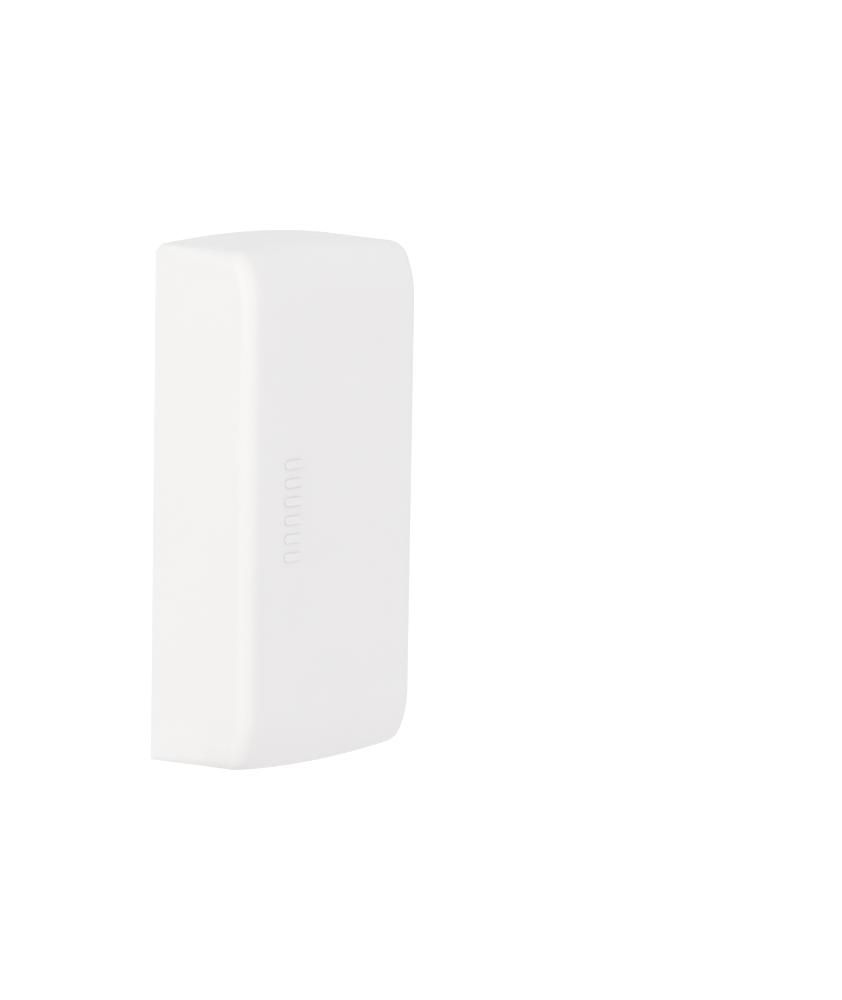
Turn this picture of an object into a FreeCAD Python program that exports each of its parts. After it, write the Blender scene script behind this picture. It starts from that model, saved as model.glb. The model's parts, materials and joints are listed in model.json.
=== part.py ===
import FreeCAD
import Part
import Sketcher
import math
import os
from types import SimpleNamespace

# Wireless door contact sensor: the transmitter that stands beside a door or window frame.
# Millimetres. The origin is the centre of the back, on the wall plane. +Z is up, +X is to the
# right of someone facing the sensor, and the front faces -Y, so a distance d from the wall is y = -d.

# ---------------------------------------------------------------- driving dimensions

DIMENSIONS = [
    # housing
    ("height", 81.0, "whole sensor"),
    ("width", 38.0, "whole sensor"),
    ("depth", 20.0, "whole sensor, from the wall"),
    ("wall", 1.6, "thickness of the cover"),
    ("rim_gap", 0.2, "the cover's rim stays this far off the wall"),
    ("end_draft", 0.6, "each end face comes in this much towards the front"),
    ("end_dome", 1.2, "each end face bulges this much at mid-width"),
    ("crown_length", 4.6, "height of each rolled-off end of the front"),
    ("crown_drop", 3.4, "depth lost over a rolled-off end"),
    ("crown_radius", 15.0, "blend from the front into a rolled-off end"),
    ("brow_radius", 3.6, "blend from a rolled-off end into the end face"),
    ("corner_radius", 2.4, "corners round the front"),
    ("edge_radius", 0.6, "the same corners at the back of the end faces"),
    ("relief_height", 2.4, "bevel behind the top, so that the cover can tilt"),
    ("relief_depth", 2.0, "the same bevel, measured from the rim"),
    # alignment ribs on the front
    ("rib_count", 6.0, "raised ribs beside the reed switch"),
    ("rib_pitch", 2.8, "from rib to rib"),
    ("rib_length", 3.6, "across the front"),
    ("rib_thickness", 1.3, "up the front"),
    ("rib_rise", 0.3, "above the front face"),
    ("rib_offset", 9.4, "centre of the ribs, left of the middle"),
    # hinge between the cover and the base
    ("hinge_depth", 2.6, "axis, from the wall"),
    ("hinge_height", 37.4, "axis, above the middle"),
    ("ear_radius", 1.25, "round ears on the base"),
    ("ear_thickness", 1.3, "each ear, along the axis"),
    ("trunnion_radius", 0.75, "pins on the ears"),
    ("trunnion_length", 0.85, "each pin"),
    ("socket_gap", 0.15, "the cover's sockets are this much deeper than the pins"),
    ("running_gap", 0.05, "radial play of pins and screws"),
    # base plate
    ("base_thickness", 2.0, "wall plate"),
    ("base_gap", 0.2, "play inside the cover's walls"),
    ("base_top", 38.3, "upper edge, above the middle"),
    ("base_bottom", 38.5, "lower edge, below the middle"),
    ("base_bevel", 1.8, "bevel behind the upper edge"),
    ("screw_hole_radius", 2.0, "wall screws"),
    ("screw_spacing", 66.0, "between the wall screws"),
    ("screw_offset", 12.0, "wall screws, left of the middle"),
    ("countersink", 1.0, "chamfer of the wall-screw holes"),
    ("rail_height", 2.8, "side rails of the base"),
    ("rail_length", 66.0, "side rails of the base"),
    ("post_radius", 2.2, "posts under the board"),
    ("pad_width", 15.0, "recesses for the adhesive pads"),
    ("pad_height", 18.0, "the same recesses"),
    ("pad_recess", 0.5, "the same recesses, into the back"),
    ("pad_level", 17.0, "the same recesses, above and below the middle"),
    ("pad_offset", 1.0, "the same recesses, left of the middle"),
    ("latch_width", 7.0, "snap tongue at the bottom of the base"),
    ("latch_thickness", 1.1, "the same tongue"),
    ("latch_reach", 5.0, "the same tongue, from the plate"),
    ("latch_gap", 0.2, "the same tongue, in from the lower edge"),
    ("pry_width", 6.0, "slot in the cover's bottom rim for a screwdriver"),
    ("pry_depth", 1.2, "the same slot, past the rim"),
    # circuit board
    ("board_back", 4.0, "board, from the wall"),
    ("board_thickness", 1.2, "laminate"),
    ("board_half_width", 15.6, "from the middle to each long edge"),
    ("board_top", 34.5, "upper edge"),
    ("board_bottom", 36.0, "lower edge, below the middle"),
    ("notch_width", 7.8, "notches that leave the wall screws free"),
    ("notch_height", 28.6, "the notches start this far from mid-height"),
    ("board_screw_radius", 1.0, "shank of a board screw"),
    ("board_screw_head", 1.9, "head radius of a board screw"),
    # battery holder and cells
    ("cell_radius", 5.25, "AAA cell over its sleeve"),
    ("cell_length", 44.5, "AAA cell with its stud"),
    ("sleeve_thickness", 0.15, "shrink sleeve"),
    ("stud_radius", 1.9, "positive stud"),
    ("stud_height", 1.0, "positive stud"),
    ("bay_play", 0.2, "radial play of a cell in its bay"),
    ("bay_length", 48.5, "inside length of a bay"),
    ("bay_pitch", 11.8, "between the two cells"),
    ("holder_centre", 4.4, "middle of the holder, right of the middle"),
    ("holder_bottom", 36.6, "lower end of the holder, below the middle"),
    ("holder_wall", 1.2, "end walls of the holder"),
    ("holder_side", 1.0, "side walls of the holder"),
    ("holder_floor", 0.7, "least floor thickness under a cell"),
    ("holder_height", 7.6, "side walls above the board"),
    ("contact_thickness", 0.4, "contact plates"),
    ("contact_width", 8.4, "contact plates"),
    ("contact_height", 7.0, "contact plates"),
    ("spring_wire", 0.3, "wire radius of a battery spring"),
    ("spring_radius", 3.2, "coil radius of a battery spring"),
    ("spring_space", 2.9, "between a contact plate and the cell it presses"),
    # small switches
    ("switch_width", 6.0, "square tact switches"),
    ("tamper_height", 5.0, "cover tamper switch"),
    ("tamper_reach", 6.8, "its button above the board, pressed in"),
    ("presser_radius", 1.8, "post inside the cover that presses the button"),
    ("presser_gap", 0.05, "between that post and the pressed button"),
    ("learn_height", 3.4, "learn switch"),
    ("learn_reach", 5.0, "its button above the board"),
    ("left_column", 11.8, "switches and chips, left of the middle"),
    ("learn_level", 24.2, "learn switch, above the middle"),
    ("tamper_level", 15.2, "cover tamper switch, above the middle"),
    # wall tamper switch
    ("plunger_x", 10.8, "plunger, right of the middle"),
    ("plunger_z", 22.6, "plunger, above the middle"),
    ("plunger_radius", 1.9, "plunger through the base"),
    ("plunger_travel", 1.5, "plunger springs out this far"),
    ("guide_wall", 1.2, "collar that guides the plunger in the base"),
    ("guide_gap", 0.2, "round the plunger and between the collar and the board"),
    ("plunger_housing", 8.0, "square housing"),
    ("plunger_housing_height", 6.0, "housing above the board"),
    # reed switch
    ("reed_offset", 12.8, "reed switch, left of the middle"),
    ("reed_length", 14.0, "glass"),
    ("reed_radius", 1.1, "glass"),
    ("reed_bore", 0.8, "inside of the glass"),
    ("reed_above_board", 1.5, "axis of the glass above the board"),
    ("reed_wire", 0.3, "radius of the leads"),
    ("reed_span", 21.0, "between the points where the leads enter the board"),
    ("blade_width", 1.1, "flattened reeds"),
    ("blade_thickness", 0.15, "flattened reeds"),
    ("blade_gap", 0.2, "open contact gap"),
    ("blade_overlap", 1.8, "reeds overlap this much"),
]


class Size:
    """A length that carries its value and the sheet formula that it comes from."""

    def __init__(self, value, formula):
        self.value = value
        self.formula = formula

    def __add__(self, other):
        return Size(self.value + number(other), f"({self.formula} + {formula(other)})")

    def __radd__(self, other):
        return self + other

    def __sub__(self, other):
        return Size(self.value - number(other), f"({self.formula} - {formula(other)})")

    def __rsub__(self, other):
        return -self + other

    def __mul__(self, other):
        return Size(self.value * number(other), f"({self.formula} * {formula(other)})")

    def __rmul__(self, other):
        return self * other

    def __truediv__(self, other):
        return Size(self.value / number(other), f"({self.formula} / {formula(other)})")

    def __neg__(self):
        return Size(-self.value, f"(0 - {self.formula})")


def number(size):
    return size.value if isinstance(size, Size) else float(size)


def formula(size):
    if isinstance(size, Size):
        return size.formula
    return f"{size}" if size >= 0 else f"(0 - {-size})"


doc = FreeCAD.newDocument("door_contact")


def make_sheet():
    """Write the driving dimensions to the sheet and return them as sizes."""
    sheet = doc.addObject("Spreadsheet::Sheet", "Sizes")
    sizes = {}
    for row, (alias, value, note) in enumerate(DIMENSIONS, start=1):
        sheet.set(f"A{row}", alias)
        sheet.set(f"B{row}", str(value))
        sheet.set(f"C{row}", note)
        sheet.setAlias(f"B{row}", alias)
        sizes[alias] = Size(value, f"Sizes.{alias}")
    doc.recompute()
    return SimpleNamespace(**sizes)


s = make_sheet()

# ---------------------------------------------------------------- helpers

OVERLAP = 0.1  # what is added to a body starts this far inside it
CLEAR = 1.0  # a cut runs out this far past what it cuts
MARGIN = 0.1  # slack in the tests that choose edges
ALONG_X = (FreeCAD.Vector(0, 1, 0), 90)
ALONG_Z = (FreeCAD.Vector(0, 0, 1), 0)
TO_FRONT = (FreeCAD.Vector(1, 0, 0), 90)
UPSIDE_DOWN = (FreeCAD.Vector(1, 0, 0), 180)


def bind(item, name, size):
    """Set a property and, when it is a sheet size, tie it to its formula."""
    setattr(item, name, number(size))
    if isinstance(size, Size):
        item.setExpression(name, size.formula)


def place(item, x, y, z, turn=ALONG_Z):
    position = FreeCAD.Vector(number(x), number(y), number(z))
    item.Placement = FreeCAD.Placement(position, FreeCAD.Rotation(*turn))
    for letter, size in zip("xyz", (x, y, z)):
        if isinstance(size, Size):
            item.setExpression(f"Placement.Base.{letter}", size.formula)
    return item


def block(name, x, z, back, width, height, depth):
    """A box centred on (x, z) whose back face is at a distance back from the wall."""
    box = doc.addObject("Part::Box", name)
    bind(box, "Length", width)
    bind(box, "Width", depth)
    bind(box, "Height", height)
    return place(box, x - width / 2, -(back + depth), z - height / 2)


def cylinder(name, radius, length, x, y, z, turn):
    """A cylinder that starts at (x, y, z) and runs the way turn says."""
    rod = doc.addObject("Part::Cylinder", name)
    bind(rod, "Radius", radius)
    bind(rod, "Height", length)
    return place(rod, x, y, z, turn)


def disc(name, x, z, back, radius, depth):
    """A cylinder that runs from a distance back from the wall towards the front."""
    return cylinder(name, radius, depth, x, -back, z, TO_FRONT)


def fuse(name, *items):
    union = doc.addObject("Part::MultiFuse", name)
    union.Shapes = list(items)
    return union


def round_ends(name, rod, radius):
    """Round both ends of a cylinder."""
    rounded = doc.addObject("Part::Fillet", name)
    rounded.Base = rod
    rounded.Edges = [(edge, radius, radius) for edge in (1, 3)]
    return rounded


def group(name, *items):
    """Several separate solids in one node."""
    compound = doc.addObject("Part::Compound", name)
    compound.Links = list(items)
    return compound


def cut(name, base, *tools):
    difference = doc.addObject("Part::Cut", name)
    difference.Base = base
    difference.Tool = tools[0] if len(tools) == 1 else fuse(f"{name}_tools", *tools)
    return difference


def coil(name, radius, wire, pitch, length, x, y, z, turn, taper=0):
    """A round-wire coil; its helix starts at (x, y, z) and runs the way turn says."""
    helix = doc.addObject("Part::Helix", f"{name}_path")
    bind(helix, "Radius", radius)
    bind(helix, "Pitch", pitch)
    bind(helix, "Height", length)
    helix.Angle = taper
    helix.SegmentLength = 0.25
    section = doc.addObject("Part::Circle", f"{name}_section")
    bind(section, "Radius", wire)
    place(section, radius, 0, 0, (FreeCAD.Vector(1, 0, 0), 90))
    sweep = doc.addObject("Part::Sweep", name)
    sweep.Sections = [section]
    sweep.Spine = (helix, [])
    sweep.Solid = True
    sweep.Frenet = True
    return place(sweep, x, y, z, turn)


def sketch(body, plane, name, offset=None):
    """An empty sketch on one of the body's own origin planes."""
    origin_plane = next(item for item in body.Origin.OriginFeatures if item.Role == plane)
    drawing = body.newObject("Sketcher::SketchObject", name)
    drawing.AttachmentSupport = [(origin_plane, "")]
    drawing.MapMode = "FlatFace"
    if offset is not None:
        drawing.AttachmentOffset = FreeCAD.Placement(
            FreeCAD.Vector(0, 0, number(offset)), FreeCAD.Rotation())
        if isinstance(offset, Size):
            drawing.setExpression("AttachmentOffset.Base.z", offset.formula)
    return drawing


def tie(drawing, kind, *places_and_size):
    """Add a dimension whose value is a size and tie it to the sheet."""
    *places, size = places_and_size
    index = drawing.addConstraint(Sketcher.Constraint(kind, *places, number(size)))
    if isinstance(size, Size):
        drawing.setExpression(f"Constraints[{index}]", size.formula)


def add_polygon(drawing, points):
    """A closed outline through the points, each dimensioned from the sketch's origin."""
    corners = [FreeCAD.Vector(number(a), number(b), 0) for a, b in points]
    first = drawing.GeometryCount
    for index, corner in enumerate(corners):
        drawing.addGeometry(Part.LineSegment(corner, corners[(index + 1) % len(corners)]))
    for index, (a, b) in enumerate(points):
        following = (index + 1) % len(points)
        drawing.addConstraint(Sketcher.Constraint("Coincident", first + index, 2, first + following, 1))
        tie(drawing, "DistanceX", -1, 1, first + index, 1, a)
        tie(drawing, "DistanceY", -1, 1, first + index, 1, b)
    return drawing


def add_circles(drawing, circles):
    """Circles given as (across, up, radius)."""
    for across, up, radius in circles:
        centre = FreeCAD.Vector(number(across), number(up), 0)
        index = drawing.addGeometry(Part.Circle(centre, FreeCAD.Vector(0, 0, 1), number(radius)))
        tie(drawing, "DistanceX", -1, 1, index, 3, across)
        tie(drawing, "DistanceY", -1, 1, index, 3, up)
        tie(drawing, "Radius", index, radius)
    return drawing


def rectangle(across, up, width, height):
    """The corners of a rectangle centred on (across, up)."""
    left, right = across - width / 2, across + width / 2
    low, high = up - height / 2, up + height / 2
    return [(left, low), (right, low), (right, high), (left, high)]


def pad(body, drawing, length, both_ways=False, backwards=False):
    feature = body.newObject("PartDesign::Pad", f"{drawing.Name}_pad")
    feature.Profile = drawing
    bind(feature, "Length", length)
    feature.Midplane = both_ways
    feature.Reversed = backwards
    doc.recompute()
    return feature


def pocket(body, drawing, length=None, both_ways=False, backwards=False):
    """Cut the sketch out of the body, right through when no length is given."""
    volume = body.Shape.Volume
    feature = body.newObject("PartDesign::Pocket", f"{drawing.Name}_pocket")
    feature.Profile = drawing
    if length is None:
        feature.Type = "ThroughAll"
    else:
        bind(feature, "Length", length)
    feature.Midplane = both_ways
    feature.Reversed = backwards
    doc.recompute()
    if body.Shape.Volume > volume - 1e-4:
        raise RuntimeError(f"{feature.Name} cuts nothing")
    return feature


def soften(body, name, size, chosen, kind="Fillet"):
    """Round or chamfer the edges that the test chooses."""
    base = body.Tip
    edges = [f"Edge{index}" for index, edge in enumerate(base.Shape.Edges, start=1) if chosen(edge)]
    feature = body.newObject(f"PartDesign::{kind}", name)
    feature.Base = (base, edges)
    bind(feature, "Radius" if kind == "Fillet" else "Size", size)
    doc.recompute()
    return feature


def mirror(body, name, features):
    """Repeat features on the other side of the middle plane."""
    middle = next(item for item in body.Origin.OriginFeatures if item.Role == "YZ_Plane")
    feature = body.newObject("PartDesign::Mirrored", name)
    feature.Originals = features
    feature.MirrorPlane = (middle, [""])
    body.Tip = feature
    doc.recompute()
    return feature


def body_named(name):
    body = doc.addObject("PartDesign::Body", name)
    body.Label = name
    return body


def is_near(value, target, tolerance=0.01):
    return abs(value - number(target)) < tolerance


def runs_along_y(edge):
    box = edge.BoundBox
    return box.YLength > MARGIN and is_near(box.XLength, 0) and is_near(box.ZLength, 0)


def spans_the_width(edge):
    return edge.BoundBox.XLength > number(s.width) / 2


def is_in_front_half(edge):
    return edge.BoundBox.YMax < -number(s.depth) / 2


# ---------------------------------------------------------------- front cover

board_front = s.board_back + s.board_thickness
inside_half_width = s.width / 2 - s.wall
inside_half_height = s.height / 2 - s.wall
crown_height = s.height / 2 - s.end_draft - s.crown_length
crown_slope = s.crown_drop / s.crown_length


def crown_cut(up):
    """What is cut away from one end of the front, as (y, z); up is 1 for the top, -1 for the bottom."""
    return [
        (-s.depth - CLEAR, crown_height * up),
        (-s.depth, crown_height * up),
        (s.crown_drop * 2 - s.depth, (crown_height + s.crown_length * 2) * up),
        (-s.depth - CLEAR, (crown_height + s.crown_length * 2) * up),
    ]


def relief_cut():
    """The bevel behind the top, as (y, z); the corner would strike the wall as the cover tilts."""
    beyond = 0.25
    low = s.height / 2 - s.relief_height * (1 + beyond)
    high = s.height / 2 + s.relief_height * beyond
    behind = s.relief_depth * beyond - s.rim_gap
    in_front = -s.rim_gap - s.relief_depth * (1 + beyond)
    return [(behind, low), (in_front, high), (behind, high)]


def hollow_profile():
    """The space inside the cover, parallel to its outside; it runs out past the rim."""
    front = s.depth - s.wall
    corner_height = crown_height - s.wall * crown_slope / 2
    end_height = inside_half_height - s.end_draft
    end_depth = front - (end_height - corner_height) * crown_slope
    return [
        (CLEAR, inside_half_height),
        (-end_depth, end_height),
        (-front, corner_height),
        (-front, -corner_height),
        (-end_depth, -end_height),
        (CLEAR, -inside_half_height),
    ]


def add_domed_outline(drawing, crest):
    """The cover seen from the front: straight sides and ends that bulge up to the crest."""
    side = s.width / 2
    shoulder = crest - s.end_dome
    across, up, high = number(side), number(shoulder), number(crest)
    point = FreeCAD.Vector
    left = drawing.addGeometry(Part.LineSegment(point(-across, up), point(-across, -up)))
    lower = drawing.addGeometry(Part.Arc(point(-across, -up), point(0, -high), point(across, -up)))
    right = drawing.addGeometry(Part.LineSegment(point(across, -up), point(across, up)))
    upper = drawing.addGeometry(Part.Arc(point(across, up), point(0, high), point(-across, up)))
    start, end = 1, 2
    for one, one_end, other, other_end in (
            (left, end, lower, start), (lower, end, right, start),
            (right, end, upper, start), (upper, end, left, start)):
        drawing.addConstraint(Sketcher.Constraint("Coincident", one, one_end, other, other_end))
    for line, sign in ((left, -1), (right, 1)):
        for line_end, level in ((start, shoulder * -sign), (end, shoulder * sign)):
            tie(drawing, "DistanceX", -1, 1, line, line_end, side * sign)
            tie(drawing, "DistanceY", -1, 1, line, line_end, level)
    radius = (side * side + s.end_dome * s.end_dome) / s.end_dome / 2
    tie(drawing, "Radius", lower, radius)
    tie(drawing, "Radius", upper, radius)
    return drawing


def corner_radius_at(point):
    """The corners are wide round the front and narrow towards the back of the end faces."""
    round_the_front = point.y < number(-s.depth / 2)
    return number(s.corner_radius if round_the_front else s.edge_radius)


def side_corners(shape, side):
    """The edges round the front of one side, each with the radius at its start and at its end.

    The longest edge comes first, because the fillet runs along the whole chain the way that edge does.
    """
    bevel_front = -number(s.rim_gap + s.relief_depth)
    chain = []
    for index, edge in enumerate(shape.Edges, start=1):
        on_the_side = is_near(edge.BoundBox.XLength, 0) and is_near(edge.CenterOfMass.x, s.width / 2 * side)
        if on_the_side and edge.BoundBox.YMin < bevel_front - MARGIN:
            ends = [edge.valueAt(edge.FirstParameter), edge.valueAt(edge.LastParameter)]
            chain.append((edge.Length, index, ends))
    chain.sort(reverse=True)
    first_end, last_end = chain[0][2]
    downwards = first_end.z > last_end.z
    corners = []
    for _, index, ends in chain:
        ends.sort(key=lambda point: math.atan2(point.z, -point.y), reverse=downwards)
        corners.append((index, *map(corner_radius_at, ends)))
    return corners


def cover_outside():
    """The cover's outside as a solid block: drafted, domed and rolled off at its ends."""
    body = body_named("cover_block")
    crest = s.height / 2
    rim = add_domed_outline(sketch(body, "XZ_Plane", "rim_outline", s.rim_gap), crest)
    front = add_domed_outline(sketch(body, "XZ_Plane", "front_outline", s.depth), crest - s.end_draft)
    drafted = body.newObject("PartDesign::AdditiveLoft", "drafted_block")
    drafted.Profile = rim
    drafted.Sections = [front]
    drafted.Ruled = True
    doc.recompute()
    ends = sketch(body, "YZ_Plane", "rolled_ends")
    for outline in (crown_cut(1), crown_cut(-1), relief_cut()):
        add_polygon(ends, outline)
    pocket(body, ends, s.width + CLEAR * 2, both_ways=True)
    soften(body, "crown_blend", s.crown_radius, lambda edge: (
        spans_the_width(edge) and is_near(edge.BoundBox.YMax, -s.depth)))
    soften(body, "brow_blend", s.brow_radius, lambda edge: (
        spans_the_width(edge) and is_in_front_half(edge)
        and is_near(abs(edge.CenterOfMass.z), crown_height + s.crown_length, number(s.end_draft))))

    corners = doc.addObject("Part::Fillet", "cover_outside")
    corners.Base = body
    corners.Edges = side_corners(body.Shape, -1) + side_corners(body.Shape, 1)
    doc.recompute()
    return corners


def front_cover():
    """The shell: the outside with its hollow, hinge sockets, presser post and alignment ribs."""
    body = body_named("front_cover")
    body.BaseFeature = cover_outside()
    doc.recompute()
    hollow = add_polygon(sketch(body, "YZ_Plane", "cover_hollow"), hollow_profile())
    pocket(body, hollow, inside_half_width * 2, both_ways=True)
    inner_front = s.wall - s.depth
    soften(body, "inner_crown_blend", s.crown_radius - s.wall * 2, lambda edge: (
        spans_the_width(edge) and is_near(edge.BoundBox.ZLength, 0)
        and is_near(edge.BoundBox.YMin, inner_front) and is_near(edge.BoundBox.YMax, inner_front)))
    soften(body, "inner_corners", s.corner_radius - s.wall, lambda edge: (
        is_near(edge.BoundBox.XLength, 0) and is_near(abs(edge.CenterOfMass.x), inside_half_width)
        and is_in_front_half(edge) and edge.BoundBox.ZLength > MARGIN))

    sockets = add_circles(sketch(body, "YZ_Plane", "hinge_sockets"), [
        (-s.hinge_depth, s.hinge_height, s.trunnion_radius + s.running_gap)])
    socket_end = inside_half_width + s.trunnion_length + s.socket_gap
    pocket(body, sockets, socket_end * 2, both_ways=True)

    pry_slot = add_polygon(sketch(body, "XZ_Plane", "pry_slot"), rectangle(
        0, -(s.height / 2), s.pry_width, s.wall * 4))
    pocket(body, pry_slot, s.rim_gap + s.pry_depth, backwards=True)

    presser_start = board_front + s.tamper_reach + s.presser_gap
    presser = add_circles(sketch(body, "XZ_Plane", "tamper_presser", presser_start), [
        (-s.left_column, s.tamper_level, s.presser_radius)])
    pad(body, presser, s.depth - s.wall / 2 - presser_start)

    ribs = sketch(body, "XZ_Plane", "alignment_ribs", s.depth - OVERLAP)
    rib_count = round(number(s.rib_count))
    for index in range(rib_count):
        level = s.rib_pitch * (index - (rib_count - 1) / 2)
        add_polygon(ribs, rectangle(-s.rib_offset, level, s.rib_length, s.rib_thickness))
    pad(body, ribs, s.rib_rise + OVERLAP)
    rounded_share = 0.4
    soften(body, "rib_ends", s.rib_thickness * rounded_share, lambda edge: (
        runs_along_y(edge) and edge.BoundBox.YMin < -number(s.depth) - MARGIN))
    soften(body, "rib_tops", s.rib_rise * rounded_share, lambda edge: (
        is_near(edge.BoundBox.YMax, -s.depth - s.rib_rise)))
    return body


# ---------------------------------------------------------------- base plate

base_half_width = inside_half_width - s.base_gap
BOARD_SCREWS = [(13.2, 31.4), (-12.2, -24.8)]
BOARD_POSTS = [(-13.2, 20.0), (13.0, -33.0), (-4.0, -33.0)]
PILOT_DEPTH = 3.0


def base_plate():
    body = body_named("base_plate")
    plate = add_polygon(sketch(body, "XZ_Plane", "plate_outline"), [
        (-base_half_width, -s.base_bottom), (base_half_width, -s.base_bottom),
        (base_half_width, s.base_top), (-base_half_width, s.base_top)])
    pad(body, plate, s.base_thickness)
    soften(body, "tilt_bevel", s.base_bevel, lambda edge: (
        is_near(edge.BoundBox.YMin, 0) and is_near(edge.BoundBox.ZMin, s.base_top)), kind="Chamfer")
    corner_radius = 1.0
    soften(body, "plate_corners", corner_radius, lambda edge: (
        runs_along_y(edge) and edge.CenterOfMass.z < 0))

    inside_face = s.base_thickness - OVERLAP
    rails = sketch(body, "XZ_Plane", "side_rails", inside_face)
    for side in (-1, 1):
        rail_centre = (base_half_width - s.ear_thickness / 2) * side
        add_polygon(rails, rectangle(rail_centre, 0, s.ear_thickness, s.rail_length))
    pad(body, rails, s.rail_height + OVERLAP)

    posts = add_circles(sketch(body, "XZ_Plane", "board_posts", inside_face), [
        (x, z, s.post_radius) for x, z in BOARD_SCREWS + BOARD_POSTS])
    pad(body, posts, s.board_back - inside_face)
    pilots = add_circles(sketch(body, "XZ_Plane", "pilot_holes", s.board_back), [
        (x, z, s.board_screw_radius + s.running_gap) for x, z in BOARD_SCREWS])
    pocket(body, pilots, PILOT_DEPTH)

    ear = add_circles(sketch(body, "YZ_Plane", "hinge_ear", base_half_width - s.ear_thickness), [
        (-s.hinge_depth, s.hinge_height, s.ear_radius)])
    ear_pad = pad(body, ear, s.ear_thickness)
    pin = add_circles(sketch(body, "YZ_Plane", "hinge_pin", base_half_width), [
        (-s.hinge_depth, s.hinge_height, s.trunnion_radius)])
    pin_pad = pad(body, pin, s.trunnion_length + s.base_gap)
    mirror(body, "other_ear", [ear_pad, pin_pad])

    screw_holes = add_circles(sketch(body, "XZ_Plane", "wall_screw_holes"), [
        (-s.screw_offset, s.screw_spacing / 2, s.screw_hole_radius),
        (-s.screw_offset, -s.screw_spacing / 2, s.screw_hole_radius)])
    pocket(body, screw_holes, backwards=True)
    soften(body, "countersinks", s.countersink, lambda edge: (
        is_near(edge.BoundBox.YMin, -s.base_thickness) and is_near(edge.BoundBox.YLength, 0)
        and is_near(edge.BoundBox.XLength, s.screw_hole_radius * 2)), kind="Chamfer")

    guide = add_circles(sketch(body, "XZ_Plane", "plunger_guide", inside_face), [
        (s.plunger_x, s.plunger_z, s.plunger_radius + s.guide_wall)])
    pad(body, guide, s.board_back - s.guide_gap - inside_face)
    guide_bore = add_circles(sketch(body, "XZ_Plane", "plunger_bore"), [
        (s.plunger_x, s.plunger_z, s.plunger_radius + s.guide_gap)])
    pocket(body, guide_bore, backwards=True)

    pads = sketch(body, "XZ_Plane", "adhesive_recesses")
    for level in (s.pad_level, -s.pad_level):
        add_polygon(pads, rectangle(-s.pad_offset, level, s.pad_width, s.pad_height))
    pocket(body, pads, s.pad_recess, backwards=True)

    tongue_level = s.latch_gap + s.latch_thickness / 2 - s.base_bottom
    tongue = add_polygon(sketch(body, "XZ_Plane", "latch_tongue", inside_face), rectangle(
        0, tongue_level, s.latch_width, s.latch_thickness))
    pad(body, tongue, s.latch_reach)
    return body


# ---------------------------------------------------------------- circuit board

def circuit_board():
    body = body_named("circuit_board")
    edge = s.board_half_width
    outline = add_polygon(sketch(body, "XZ_Plane", "board_outline", s.board_back), [
        (-s.notch_width, -s.board_bottom), (edge, -s.board_bottom),
        (edge, s.board_top), (-s.notch_width, s.board_top),
        (-s.notch_width, s.notch_height), (-edge, s.notch_height),
        (-edge, -s.notch_height), (-s.notch_width, -s.notch_height)])
    pad(body, outline, s.board_thickness)
    corner_radius = 0.8
    soften(body, "board_corners", corner_radius, runs_along_y)
    screw_play, plunger_play = 0.15, 0.4
    holes = add_circles(sketch(body, "XZ_Plane", "board_holes"), [
        (x, z, s.board_screw_radius + screw_play) for x, z in BOARD_SCREWS] + [
        (s.plunger_x, s.plunger_z, s.plunger_radius + plunger_play)])
    pocket(body, holes, backwards=True)
    return body


def board_screws():
    """Two pan-head screws with a straight slot, one solid each."""
    head_height, head_rounding = 1.3, 0.5
    slot_width, slot_depth = 0.5, 0.6
    tip_gap = 0.2
    shank_length = s.board_thickness + PILOT_DEPTH - tip_gap
    screws = []
    for index, (x, z) in enumerate(BOARD_SCREWS):
        name = f"board_screw_{index + 1}"
        head = disc(f"{name}_head", x, z, board_front, s.board_screw_head, head_height)
        dome = doc.addObject("Part::Fillet", f"{name}_dome")
        dome.Base = head
        doc.recompute()
        rim = 1 + max(range(3), key=lambda item: -head.Shape.Edges[item].BoundBox.YMax)
        dome.Edges = [(rim, head_rounding, head_rounding)]
        shank = disc(f"{name}_shank", x, z, board_front - shank_length, s.board_screw_radius, shank_length)
        slot = block(f"{name}_slot", x, z, board_front + head_height - slot_depth,
                     s.board_screw_head * 2 + CLEAR, slot_width, slot_depth + CLEAR)
        screws.append(cut(name, fuse(f"{name}_blank", dome, shank), slot))
    return group("board_screws", *screws)


# ---------------------------------------------------------------- battery holder and cells

cell_depth = board_front + s.holder_floor + s.bay_play + s.cell_radius
bay_radius = s.cell_radius + s.bay_play
bay_bottom = -s.holder_bottom + s.holder_wall
bay_top = bay_bottom + s.bay_length
left_bay = s.holder_centre - s.bay_pitch / 2
right_bay = s.holder_centre + s.bay_pitch / 2


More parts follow.
